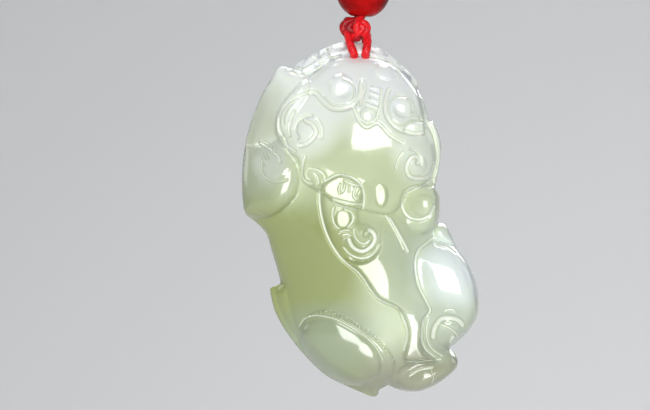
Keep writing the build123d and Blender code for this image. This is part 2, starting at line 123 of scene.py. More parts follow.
# One node: its settings first, then the values or links of its sockets, by name or in order
def addNode(tree, kind, settings=None, inputs=(), output=0):
    node = tree.nodes.new(kind)
    for name, value in (settings or {}).items():
        setattr(node, name, value)
    pairs = inputs.items() if isinstance(inputs, dict) else enumerate(inputs)
    for name, value in pairs:
        if isinstance(value, Socket):
            tree.links.new(value.output, node.inputs[name])
        else:
            node.inputs[name].default_value = value
    return Socket(tree, node.outputs[output])


def mixColour(tree, share, first, second):
    return addNode(tree, "ShaderNodeMix", {"data_type": "RGBA"}, {0: share, 6: first, 7: second}, output=2)


def noise(tree, place, scale, detail=2):
    return addNode(tree, "ShaderNodeTexNoise", inputs={"Vector": place, "Scale": scale, "Detail": detail})


def bump(tree, height, strength, depth):
    return addNode(tree, "ShaderNodeBump", inputs={"Height": height, "Strength": strength, "Distance": depth})


def attribute(tree, name):
    return addNode(tree, "ShaderNodeAttribute", {"attribute_name": name}, output=2)


def newMaterial(name):
    material = bpy.data.materials.new(name)
    material.use_nodes = True
    material.node_tree.nodes.clear()
    return material, material.node_tree


# A Principled material whose sockets are values or links
def finishMaterial(material, sockets):
    tree = material.node_tree
    shader = addNode(tree, "ShaderNodeBsdfPrincipled", inputs=sockets)
    surface = tree.nodes.new("ShaderNodeOutputMaterial")
    tree.links.new(shader.output, surface.inputs["Surface"])
    return material


def addMesh(name, points, faces, material):
    mesh = bpy.data.meshes.new(name)
    mesh.from_pydata(points, [], faces)
    mesh.materials.append(material)
    mesh.shade_smooth()
    return addObject(name, mesh)


def addPiece(name, points, faces, material):
    piece = addMesh(name, points, faces, material)
    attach(piece, "root")
    return piece


def addValues(piece, name, values):
    layer = piece.data.attributes.new(name, "FLOAT", "POINT")
    layer.data.foreach_set("value", np.asarray(values, np.float32))


# Red cord, in millimetres unless a name says otherwise
cord = {
    "diameter": 1.32,
    "around": 20,
    "step": 0.11,
    "fewestSteps": 8,
    "splineSteps": 24,
    "braidLength": 2.3,
    "strandsAround": 4,
    "plump": 0.7,
    "under": 0.4,
    "relief": 0.18,
    # painted shade: how dark the braid's grooves are painted
    "grooveShade": 0.35,
    "endShare": 0.6,
    # painted light and shade: each piece's colour made lighter or darker as a whole
    "paintedBrightness": 0.85,
    "colour": (0.93, 0.012, 0.02, 1),
    # the dark colour of the painted shade
    "shade": (0.3, 0.001, 0.004, 1),
}


def cordMaterial():
    material, tree = newMaterial("braidedSatinCord")
    place = addNode(tree, "ShaderNodeTexCoord", output=3)
    # painted shade in the braid's grooves, times each piece's painted brightness
    ridgeAndPaintedShade = attribute(tree, "ridgeAndPaintedShade")
    fibre = noise(tree, place, 9000)
    blotch = noise(tree, place, 700)
    weave = noise(tree, place, 2400).step(0.36, 0.56)
    # painted shade and light from the attribute, random blotches, painted shade in the weave's hollows
    share = ridgeAndPaintedShade + 0.3 * (blotch - 0.5) + 0.1 - 0.5 * (1 - weave)
    colour = mixColour(tree, share.clamped(), cord["shade"], cord["colour"])
    return finishMaterial(material, {
        "Base Color": colour,
        "Roughness": 0.28 + 0.2 * fibre,
        "Specular IOR Level": 0.4,
        "Sheen Weight": 0.04,
        "Sheen Roughness": 0.4,
        "Subsurface Weight": 0.15,
        "Subsurface Radius": (1.0, 0.1, 0.1),
        "Subsurface Scale": 0.0004,
        "Normal": bump(tree, 0.5 * fibre + 0.5 * weave, 0.45, 0.00009),
    })


# How far each point of a line is along it
def runAlong(line):
    return np.concatenate([[0], np.cumsum(np.linalg.norm(np.diff(line, axis=0), axis=1))])


def placesAt(even, run, line):
    return np.stack([np.interp(even, run, column) for column in line.T], axis=1)


# Points of the smooth line that a route's spline draws, evenly spaced, in metres
def splineLine(route, closed=False, step=cord["step"]):
    curve = bpy.data.curves.new("route", "CURVE")
    curve.dimensions = "3D"
    curve.resolution_u = cord["splineSteps"]
    spline = curve.splines.new("NURBS")
    spline.points.add(len(route) - 1)
    for point, place in zip(spline.points, route):
        point.co = (*(value / perMetre for value in place), 1)
    spline.order_u = 3
    spline.use_endpoint_u = not closed
    spline.use_cyclic_u = closed
    holder = bpy.data.objects.new("route", curve)
    mesh = bpy.data.meshes.new_from_object(holder)
    line = np.array([vertex.co[:] for vertex in mesh.vertices])
    bpy.data.objects.remove(holder)
    if closed:
        line = np.concatenate([line, line[:1]])
    run = runAlong(line)
    count = max(int(run[-1] * perMetre / step), cord["fewestSteps"])
    even = np.linspace(0, run[-1], count + 1)
    return placesAt(even[:-1] if closed else even, run, line)


# Height of an over-and-under braid at an angle round the cord and a length along it
def braid(angle, along):
    turn = cord["strandsAround"] * angle / 2
    travel = 2 * math.pi * along / cord["braidLength"]
    right = 0.5 + 0.5 * np.cos(2 * (turn + travel))
    left = 0.5 + 0.5 * np.cos(2 * (turn - travel))
    over = 0.5 + 0.5 * np.sign(np.sin(2 * turn) * np.sin(2 * travel))
    plump, under = cord["plump"], cord["under"]
    return np.maximum(right**plump * (1 - under + under * over), left**plump * (1 - under * over))


# A braided tube along a line, its ends rounded off
def braidedTube(name, line, diameter=cord["diameter"], closed=False, around=cord["around"],
                paintedBrightness=cord["paintedBrightness"]):
    radius = diameter / 2 / perMetre
    count = len(line)
    ahead = np.roll(line, -1, axis=0) - np.roll(line, 1, axis=0)
    if not closed:
        ahead[0], ahead[-1] = line[1] - line[0], line[-1] - line[-2]
    ahead /= np.linalg.norm(ahead, axis=1)[:, None]
    across = np.empty_like(line)
    first = np.cross(ahead[0], (0, 1, 0) if abs(ahead[0][1]) < 0.9 else (1, 0, 0))
    for i in range(count):
        first = first - ahead[i] * (first @ ahead[i])
        first /= np.linalg.norm(first)
        across[i] = first
    beside = np.cross(ahead, across)
    along = np.arange(count) * np.linalg.norm(line[1] - line[0]) * perMetre
    angles = np.arange(around) * 2 * math.pi / around
    twist, size = np.zeros(count), np.ones(count)
    if closed:  # the frame comes round turned a little, which is spread over the whole loop
        last = across[-1]
        back = math.atan2(np.dot(np.cross(last, across[0]), ahead[0]), np.dot(last, across[0]))
        twist = np.arange(count) / count * back
    else:
        size[0] = size[-1] = cord["endShare"]
    angle = angles + twist[:, None]
    ridgeAndPaintedShade = braid(angles, along[:, None])
    reach = radius * size[:, None] * (1 - cord["relief"] + cord["relief"] * ridgeAndPaintedShade)
    aside = np.cos(angle)[..., None] * across[:, None] + np.sin(angle)[..., None] * beside[:, None]
    points = line[:, None] + reach[..., None] * aside
    faces = []
    for i in range(count if closed else count - 1):
        here, after = i * around, (i + 1) % count * around
        for k in range(around):
            right = (k + 1) % around
            faces.append((here + k, here + right, after + right, after + k))
    if not closed:
        faces.append(tuple(range(around))[::-1])
        faces.append(tuple(range((count - 1) * around, count * around)))
    piece = addPiece(name, points.reshape(-1, 3).tolist(), faces, redCord)
    # painted shade: the braid's grooves darker, times the piece's painted brightness
    addValues(piece, "ridgeAndPaintedShade", paintedBrightness * (cord["grooveShade"] + (1 - cord["grooveShade"]) * ridgeAndPaintedShade.ravel()))
    return piece


redCord = cordMaterial()

# Loop strands, from inside the knot down the front of the rim, through the hole and back up: across, behind
# the middle plane and up
loopRoutes = {
    "loop_cord_left": [
        (-1.8, -1, -205), (-1.62, -1.8, -206.3), (-1.35, -2.5, -207.3), (-0.95, -2.75, -208.2),
        (-0.8, -2.3, -208.8), (-0.78, 3.2, -210.9), (-0.78, 4.4, -209.45), (-1.3, 2.4, -207.6),
        (-1.5, 0.8, -205.4)],
    "loop_cord_right": [
        (0.9, -0.7, -204.8), (1.18, -1.8, -206.3), (1.08, -2.5, -207.3), (0.88, -2.75, -208.2),
        (0.8, -2.3, -208.8), (0.78, 3.2, -210.9), (0.78, 4.4, -209.45), (0.9, 2.4, -207.6),
        (0.9, 0.8, -205.4)],
}
# the loop strands painted lighter as a whole: painted light
loopPaintedBrightness = 1.4


def addLoopCords():
    for name, route in loopRoutes.items():
        line = splineLine([(x, middlePlane * perMetre + y, z) for x, y, z in route])
        piece = braidedTube(name.replace("loop_cord", "loopStrand"), line, paintedBrightness=loopPaintedBrightness)
        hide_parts(name)


addLoopCords()

# Neck cord: half of its route from the upper knot to the nape, then mirrored
neck = {
    "half": [(0.66, -121, -191.48), (24, -117.98, -140.16), (44.4, -106, -94.08), (58.2, -82.04, -55.68),
             (60, -49.97, -25.92), (46.2, -18.15, -8.06), (17, 0.6, 0)],
    "step": 0.26,
    "around": 14,
}


def addNeckCord():
    route = [(-x, y, z) for x, y, z in neck["half"]] + neck["half"][::-1]
    piece = braidedTube("neckStrand", splineLine(route, step=neck["step"]), around=neck["around"])
    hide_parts("neck_cord")


addNeckCord()
print("cords laid")

# Knots: closed wraps of cord round the core, and short strands laid over them, all from the knot's middle
wrap = {"places": 8, "spread": 1.08}
knots = {
    "lowerKnot": {
        "node": "lower_knot",
        # painted shade: the lower knot's wraps darkened as a whole
        "paintedBrightness": 0.2,
        "wraps": [
            # height, middle deep, radius across, radius deep, lean sideways, diameter
            (-0.7, 0.35, 1.15, 1.15, -14, 1.4),
            (0.1, 0.45, 1.4, 1.25, -20, 1.4),
            (0.85, 0.3, 1.1, 1.15, -14, 1.4),
        ],
        "strands": [
            # diameter, painted brightness (below 1 painted shade, above 1 painted light), places
            (1.25, 0.3, [(0.3, -0.8, 1.2), (-0.7, -1.1, 1.15), (-1.6, -1, 0.7), (-1.85, -0.9, -0.1),
                (-1.3, -1.1, -0.75), (-0.4, -1.3, -1.05), (0.5, -1.1, -1.1)]),
            (1.15, 0.12, [(0.2, -1.3, 0.8), (-0.6, -1.6, 0.6), (-1.05, -1.6, 0.1), (-0.7, -1.7, -0.4),
                (0.1, -1.5, -0.6)]),
            (1.3, 1.4, [(1, -0.3, 1.9), (0.85, -1.1, 1.4), (0.45, -1.8, 0.8), (0.15, -2.05, 0.1),
                (0.3, -1.7, -0.8)]),
            (1.25, 1.4, [(0.5, -1.3, 0.9), (1.3, -1.5, 0.8), (1.85, -1.2, 0.2), (1.7, -1.2, -0.5),
                (0.9, -1.4, -1.1)]),
            (1.15, 1.4, [(0.8, -1.8, 0.5), (1.2, -1.9, 0), (0.9, -1.9, -0.5), (0.1, -1.7, -0.9),
                (-0.5, -1.1, -1.2)]),
            (1.1, 0.4, [(-0.9, -0.7, -1.2), (-0.1, -1, -1.6), (0.8, -0.8, -1.4)]),
        ],
    },
    "upperKnot": {
        "node": "upper_knot",
        # painted shade: the upper knot's wraps a little darker as a whole
        "paintedBrightness": 0.8,
        "wraps": [
            (-0.8, 0, 1.5, 1.5, 18, 1.5),
            (0, 0, 1.65, 1.6, 12, 1.5),
            (0.8, 0, 1.4, 1.4, 22, 1.45),
        ],
        "strands": [
            (1.4, 0.7, [(-1.3, -0.9, 1.4), (-1.2, -1.7, 0.8), (-0.3, -2, 0), (0.8, -1.8, -0.7),
                (1.4, -0.9, -1.3)]),
            (1.4, 0.7, [(1.3, 0.9, 1.4), (1.2, 1.7, 0.8), (0.3, 2, 0), (-0.8, 1.8, -0.7),
                (-1.4, 0.9, -1.3)]),
        ],
    },
}


def addKnots():
    for name, knot in knots.items():
        low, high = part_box(knot["node"])
        centre = (low + high) * perMetre / 2
        pieces = []
        for height, inward, across, deep, lean, diameter in knot["wraps"]:
            route = []
            for k in range(wrap["places"]):
                turn = 2 * math.pi * k / wrap["places"]
                x = wrap["spread"] * across * math.cos(turn)
                y = inward + wrap["spread"] * deep * math.sin(turn)
                z = centre.z + height + x * math.tan(math.radians(lean))
                route.append((centre.x + x, centre.y + y, z))
            pieces.append(braidedTube(f"{name}Wrap{len(pieces)}", splineLine(route, closed=True), diameter,
                                      closed=True, paintedBrightness=knot["paintedBrightness"]))
        for diameter, paintedBrightness, places in knot["strands"]:
            line = splineLine([(centre.x + x, centre.y + y, centre.z + z) for x, y, z in places])
            pieces.append(braidedTube(f"{name}Strand{len(pieces)}", line, diameter, paintedBrightness=paintedBrightness))
        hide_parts(knot["node"])


# The two strands inside the bead are shown as the frame gives them
def dressBeadCords():
    for name in ("bead_cord_left", "bead_cord_right"):
        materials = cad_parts[name].data.materials
        materials.clear()
        materials.append(redCord)


addKnots()
dressBeadCords()
print("knots tied")

# Bead, turned, with its bore's rim rounded
bead = {
    "around": 96,
    "rows": 40,
    "bore": 1.45,
    "rim": 0.22,
    "rimSteps": ((0.35, 0.25), (1.0, 0.0)),  # in shares of the rim: down the bore, and out from it
    "colour": (0.13, 0.001, 0.002, 1),
    "glow": (0.52, 0.006, 0.006, 1),
}


def beadMaterial():
    material, tree = newMaterial("redAgate")
    place = addNode(tree, "ShaderNodeTexCoord", output=3)
    cloud = noise(tree, place, 260, 4)
    return finishMaterial(material, {
        "Base Color": mixColour(tree, cloud.step(0.35, 0.7), bead["colour"], bead["glow"]),
        "Roughness": 0.1 + 0.08 * cloud,
        "Subsurface Weight": 0.6,
        "Subsurface Radius": (1.0, 0.12, 0.08),
        "Subsurface Scale": 0.002,
        "Specular IOR Level": 0.07,
    })


def addBead():
    centre = (beadLow + beadHigh) / 2
    radius = (beadHigh.x - beadLow.x) / 2
    bore = bead["bore"] / perMetre
    rim = bead["rim"] / perMetre
    start = math.asin((bore + rim) / radius)
    profile = []
    for k in range(bead["rows"] + 1):
        turn = start + (math.pi - 2 * start) * k / bead["rows"]
        profile.append((radius * math.sin(turn), radius * math.cos(turn)))
    top = profile[0][1]
    for down, out in bead["rimSteps"]:
        profile.insert(0, (bore + out * rim, top - down * rim))
        profile.append((bore + out * rim, down * rim - top))
    points, faces = [], []
    around, rows = bead["around"], len(profile)
    for across, up in profile:
        for k in range(around):
            turn = 2 * math.pi * k / around
            x, y = across * math.cos(turn), across * math.sin(turn)
            points.append((centre.x + x, centre.y + y, centre.z + up))
    for row in range(rows):
        here, below = row * around, (row + 1) % rows * around
        for k in range(around):
            right = (k + 1) % around
            faces.append((here + k, below + k, below + right, here + right))
    piece = addPiece("beadBall", points, faces, beadMaterial())
    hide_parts("bead")


addBead()
print("bead turned")

# Jade. Places are in percent of its width and height, heights in percent of its front depth, and widths in
# percent of its width. Spacings, rings, steps and gaps are in metres.
jade = {
    "frontSpacing": 0.00019,
    "backSpacing": 0.00042,
    "curveSteps": 5,
    "edgeRings": (0.00003, 0.00008, 0.00015),
    "ringClear": 0.7,
    "innerClear": 0.3,
    "strokeStep": 0.00013,
    "strokeGap": 0.00007,
    "edgeRound": 4.2,
    "edgeDome": 3,  # in edgeRounds, where the full height may be reached
    "plate": 20,
    "crease": 2.2,
    "backShare": 0.55,
    "leastShare": 0.4,  # of its form that a cut leaves
    "deepCut": 3,  # a cut this deep is white: partly the paler carved line, partly painted highlight
    "pale": (0.7, 0.78, 0.58, 1),
    # the whitening of the strokes: partly the paler carved line, partly painted highlight
    "cutPaleAndHighlightShare": 0.8,
    "cutPaleAndHighlightColour": (0.92, 0.97, 0.84, 1),
    # painted shade along the sides of the strokes: its share and colour
    "paintedSideShadeShare": 0.4,
    "paintedSideShadeColour": (0.42, 0.47, 0.3, 1),
    "rawColour": (0.52, 0.53, 0.56, 1),
}
# Jade tones, partly painted light and shade: whiter to the top and right, darker olive to the bottom and left
# name: across, up, reach across and up, in shares of the jade's size, strength, colour
jade["tints"] = {
    "leaf": (0.05, 0.76, 0.22, 0.22, 1, (0.59, 0.63, 0.51)),
    "scroll": (0.08, 0.57, 0.2, 0.15, 0.9, (0.49, 0.55, 0.38)),
    "scrollEye": (0.13, 0.665, 0.08, 0.07, 0.5, (0.8, 0.86, 0.8)),
    "torso": (0.6, 0.42, 0.4, 0.22, 0.85, (0.54, 0.62, 0.44)),
    "muzzle": (0.52, 0.62, 0.36, 0.2, 0.9, (0.55, 0.62, 0.38)),
    "trunk": (0.16, 0.36, 0.5, 0.27, 1.3, (0.37, 0.42, 0.17)),
    "lowerHaunch": (0.42, 0.03, 0.36, 0.17, 0.9, (0.34, 0.38, 0.2)),
    "leftHaunch": (0.34, 0.16, 0.3, 0.14, 0.9, (0.38, 0.45, 0.3)),
    "foot": (0.74, 0.05, 0.32, 0.14, 0.9, (0.38, 0.39, 0.28)),
    "curl": (0.85, 0.21, 0.19, 0.12, 0.6, (0.5, 0.57, 0.5)),
    "crown": (0.6, 1.02, 0.8, 0.34, 1.1, (0.9, 0.95, 0.92)),
    "rightHead": (0.78, 0.7, 0.16, 0.14, 0.8, (0.82, 0.89, 0.79)),
    "haunch": (0.94, 0.37, 0.28, 0.15, 1, (0.84, 0.92, 0.9)),
    "cheek": (0.28, 0.77, 0.17, 0.13, 0.8, (0.9, 0.95, 0.88)),
}
jade["outline"] = {
    "crown": [(43, 100), (49, 99.8), (55, 99), (60.5, 97.2), (66, 94.2)],
    "rightHorn": [(71, 91), (73.7, 89), (74.3, 87.5)],
    "rightTemple": [(74, 86.8), (76.5, 83.5), (78, 80.2)],
    "rightEar": [(79.3, 77.6), (80.4, 77.8), (82, 75.5), (84, 71.5), (83.6, 66.5)],
    "rightPaw": [(81.6, 59), (83.5, 56), (83.4, 51.5)],
    "rightWing": [(82.4, 49), (85.8, 48.4), (89, 44.5)],
    "rightHaunch": [(91, 41.4), (96, 37), (99.2, 31.5), (100, 25), (98, 21), (93, 16.6)],
    "rightFoot": [(87.4, 13.7), (90.6, 11.2), (90.3, 8), (84, 4.2), (76, 1.6), (68, 1.6)],
    "footTab": [(61.6, 3.2), (58, 1.8), (57.4, 0.4), (55, 0)],
    "leftHaunch": [(51, 1), (44, 3), (35, 6.2), (26.5, 11.6), (19, 18), (14, 24), (12, 29.5)],
    "leftSpur": [(12.2, 30.6), (13.3, 31), (15.6, 31.6)],
    "waist": [(16.3, 32.2), (15, 35.8), (12.4, 41.5), (10.2, 46)],
    "leftScroll": [(5.5, 49.4), (1.6, 51.5), (0.3, 55.5), (0, 60), (0.4, 66), (2, 73)],
    "leftEar": [(4.6, 79), (7.8, 84.2), (11.8, 89.2), (15.2, 92.6), (18, 93.1)],
    "leftTemple": [(20.2, 92.4), (25, 94.6), (32, 97.2), (38, 99.2)],
}
# name: height at its foot, height it gains, bulge, slant right and up, outline
jade["bases"] = {
    "pebble": (8, 71, 0.6, 0, 0, [(20, 85), (25, 88.5), (32, 92), (38, 94.3), (47, 95.6), (56, 95),
        (62, 93.8), (67, 91.5), (71.5, 88.3), (74.3, 85.5), (76.8, 81), (78.5, 77), (80.5, 73), (81.8, 68),
        (81.6, 62), (82.8, 58), (83.6, 54), (83, 50), (82.4, 46), (86.5, 43.6), (91, 41.2), (95.7, 36.7),
        (99, 31.5), (99.8, 25), (97.8, 21.1), (93, 16.8), (87.4, 13.9), (89.6, 11.4), (89.2, 8.2),
        (83.8, 4.6), (76, 2), (68, 2), (61.5, 3.6), (55, 2.6), (49, 2.6), (42, 4.6), (34, 8), (27.5, 12.2),
        (23, 17.4), (20, 23), (18.2, 28), (16.2, 34), (13, 41.5), (10.6, 46.1), (5.8, 49.6), (1.9, 51.8),
        (0.5, 56), (0.2, 61), (0.8, 66.4), (2.6, 70.4), (8, 71.2), (12.4, 73), (14.2, 78), (16.4, 81.8)]),
    "leftEar": (20, 13, 0.5, 1.7, 0, [(17.7, 93.4), (20.6, 92.2), (26, 91), (30, 87), (29, 82), (26, 76),
        (22, 72), (17, 71), (12.4, 71.2), (6.8, 70.8), (1.8, 70.9), (1.8, 73.7), (3.2, 77.9), (5.8, 82.7),
        (9.6, 87.7), (12.8, 91.6)]),
}
# name: step up, width of its rounded edge, slant right and up, outline
jade["layers"] = {
    "head": (14, 2.6, 0, 0, [(37.6, 94.2), (32.1, 91.7), (27, 89.2), (22.8, 86.9), (19, 84.1), (16, 81),
        (14.3, 77.6), (14.3, 74.2), (16, 71.7), (19, 69.4), (22.8, 67.2), (24.5, 64.4), (25.3, 61),
        (29.5, 58.7), (35, 56.5), (39.2, 54.5), (43.5, 53.4), (48.9, 52.8), (56, 51.7), (62.4, 51.4),
        (66.7, 54), (68.8, 57), (71.7, 58.2), (76.8, 59.9), (79.7, 61.5), (81.4, 64.4), (81.9, 68),
        (81, 71.7), (79.3, 75.1), (76.8, 77.6), (75.5, 82.1), (73.8, 85.8), (70, 89.2), (65.4, 92.5),
        (60.8, 94.2), (55.3, 95.2), (47.7, 95.5), (41.8, 95.4)]),
    "leftScroll": (12, 8, 0.95, -0.8, [(2.1, 70.9), (-4, 66), (-5, 58.2), (-3, 51.4), (4.6, 50.4),
        (8.4, 50.4), (12.7, 50.8), (18.1, 53.1), (22.4, 56.5), (24.1, 60.4), (23.2, 64.4), (20.3, 68),
        (16, 70.3), (11, 71.1), (6.3, 70.6)]),
    "rightEar": (10, 3, 0, 0, [(79.4, 77.4), (81, 77.5), (83.1, 75.1), (84.2, 70.8), (83.9, 66.6),
        (82.6, 62.4), (81.8, 59.6), (80.6, 61), (82.3, 65.2), (82.3, 69.4), (81, 73.7)]),
    "rightPaw": (22, 6, 3.2, 0, [(67.5, 57), (70.9, 58.5), (75.1, 59.3), (80.2, 59.6), (82.9, 58),
        (84.2, 55.4), (84, 52), (82.8, 49), (79.3, 46.6), (74.3, 46.1), (69.6, 48.3), (67.1, 52),
        (66.7, 54.8)]),
    "rightWing": (12, 3, 0, 0, [(82.5, 48.8), (86.1, 48.1), (88.2, 45.6), (90.3, 42.2), (86.5, 43.2),
        (82.3, 44.1), (80.6, 46.3)]),
    "foreleg": (15, 1.2, -0.25, -0.5, [(42.5, 38.9), (45.6, 37.3), (48.9, 35.6), (51.9, 33.1), (54.9, 30),
        (58.2, 27.7), (63.3, 26.3), (66.3, 24.9), (68.8, 21.5), (69.7, 18.2), (68.8, 14.5), (68.4, 10.8),
        (77.2, 10.8), (81.9, 10.8), (77.2, 13.1), (75.1, 15.9), (75.1, 19.3), (75.9, 22.1), (78.5, 24.9),
        (75.9, 28.3), (73, 32.8), (72.2, 37.9), (73.4, 41.3), (76.8, 43.2), (79.3, 45.2), (74.3, 45.8),
        (68.8, 48.6), (65, 51.1), (60.4, 51.5), (58.4, 47), (57.4, 41.6), (53.4, 38.7), (48.4, 38)]),
    "shin": (4, 0.8, 1.25, -0.6, [(65.8, 24.9), (68.8, 24.4), (71.7, 23.5), (74.3, 21.3), (75.1, 18.2),
        (74.3, 15.1), (75.9, 12.5), (78.1, 10.8), (73, 10.3), (68.4, 10.8), (68, 13.1), (69.2, 16.5),
        (69.2, 19.9), (67.3, 22.4)]),
    "rightHaunch": (20, 7, 1.9, 0.5, [(80.2, 43.8), (85.2, 43.5), (90.3, 41.8), (94.2, 39), (97.8, 35),
        (100.2, 30.6), (100.8, 26.3), (99.3, 22.1), (95.5, 18.7), (90.7, 16.2), (86.9, 13.9), (83.5, 13.9),
        (80.6, 15.9), (78.9, 19.3), (79.3, 23), (78.1, 26.6), (75.1, 30.6), (73.4, 35.1), (73.4, 39),
        (75.1, 41.5)]),
    "rightFoot": (16, 6, 1.8, -3.2, [(70, 9.7), (75.1, 10.3), (81.4, 9.7), (86.5, 12.5), (90.2, 11.7),
        (91.2, 9.2), (88.2, 5.8), (82.6, 3.6), (75.9, 1.4), (70.9, 1.1), (66.7, 2.6), (65, 5.8),
        (66.7, 8.3)]),
    "browFacet": (5, 0.5, 2.4, 0.9, [(67.6, 74.8), (70.4, 76.6), (72.6, 76.9), (74.6, 77), (76, 76.2),
        (76.3, 74), (74, 73.5), (70.6, 73.8)]),
    "mouthKnob": (5, 1.1, 0.7, -0.8, [(58.3, 59.8), (60.1, 59.2), (61.1, 57.3), (60.9, 55.1), (59.7, 53.7),
        (58, 53.4), (56.4, 54.2), (55.5, 56.2), (55.7, 58.3), (56.9, 59.4)]),
    "leftHaunchRim": (7, 4, 0, 0, [(25.7, 21), (27.8, 22.7), (32.1, 24.1), (37.1, 23.8), (43.5, 22.1),
        (48.9, 20.1), (54, 17.9), (58.2, 15.4), (61.6, 13.1), (63.7, 10.8), (64.1, 8), (61.6, 4.6),
        (56.1, 2.7), (48.9, 1.9), (41.4, 3.4), (33.8, 6.4), (27.8, 10.2), (24, 14.2), (23.8, 17.9)]),
    "leftHaunch": (13, 7, -0.3, -0.75, [(25.7, 18.7), (28.7, 21), (33.8, 21.8), (39.7, 21), (45.6, 19),
        (51.5, 16.5), (56.1, 13.4), (58.2, 10), (57.4, 6.3), (52.3, 3.8), (45.6, 3.2), (38.8, 5.1),
        (32.1, 8.2), (27, 11.9), (24.9, 15.6)]),
    "beard": (7, 3, -0.6, 0.5, [(33.8, 59.3), (33.3, 55.4), (34.2, 51.1), (36.3, 46.3), (39.2, 42.4),
        (43.5, 39.6), (48.5, 38.5), (53.6, 39.3), (57, 41.8), (57.8, 44.6), (56.1, 47.2), (52.7, 48.6),
        (49.4, 49.2), (48.9, 52.5), (50.6, 56.5), (49.8, 59.9), (43.5, 62.4), (38, 61.5)]),
    "tongue": (3, 0.7, 0.1, -0.5, [(39.5, 50.8), (40.4, 52.3), (42.5, 52.6), (45.2, 51.8), (46, 50.3),
        (45.2, 48.6), (43.2, 47.4), (40.9, 47.6), (39.6, 49)]),
}
# name: across, up, half width, half height, rise
jade["swells"] = {
    "muzzle": (62, 75, 34, 26, 14),
    "headRight": (75, 73, 20, 30, 12),
    "mouthDip": (38, 58, 22, 22, -6),
    "chinDip": (57, 53, 13, 13, -9),
    "neckDip": (24, 58, 12, 14, -8),
    "chestRise": (64, 36, 24, 30, 7),
    "haunchRoot": (70, 34, 15, 24, -5),
    "chestDip": (56.4, 33.4, 11, 13, -3),
    "shinRoot": (72, 18, 20, 20, 4),
    "muzzleRight": (65, 70, 12, 14, 2),
    "haunchRidge": (60, 9, 14, 14, 10),
    "chestFold": (64, 33, 11, 14, 4),
    "teethRise": (47.5, 57, 8, 7, 5),
}
# name: across, up, half width, half height, lean, rise, slant right and up
jade["bosses"] = {
    "leftEye": (41.8, 87.2, 5.2, 5.2, 0, 4, -0.8, 1.4),
    "rightEye": (67.8, 81.3, 4.4, 4.5, 0, 1.6, 1.45, 1.45),
    "nose": (53, 79.2, 3.4, 2.9, 0, 4, 0, 0.8),
    "forehead": (60.5, 91.5, 4.6, 3.6, -30, 5, 0, 0),
    "leftCheek": (27, 74.5, 4.6, 5.6, 0, 5, 0, 0),
    "rightCheek": (73.4, 65, 4.2, 4.4, 0, 5, 0, 0),
    "scrollDisc": (13.9, 65.6, 6, 6, 0, 2, 0, 0),
    "beardBall": (52.3, 46, 1.6, 1.6, 0, 6, 0, 0),
    "pawPad": (76.4, 53.8, 5.4, 4.6, 0, 6, 0, 0),
    "haunchCurl": (86.5, 17.6, 5.8, 5, 0, 6, 0, 0),
}
# name: rise, radius, pitch, route
jade["beadRows"] = {
    "leftHaunchRim": (3.5, 0.62, 1.75, [(28.2, 22.9), (32.9, 24.3), (38, 23.8), (43.5, 22.4), (48.9, 20.4),
        (54, 18.2), (58.2, 15.6), (61.6, 13), (63.6, 10.4)]),
}
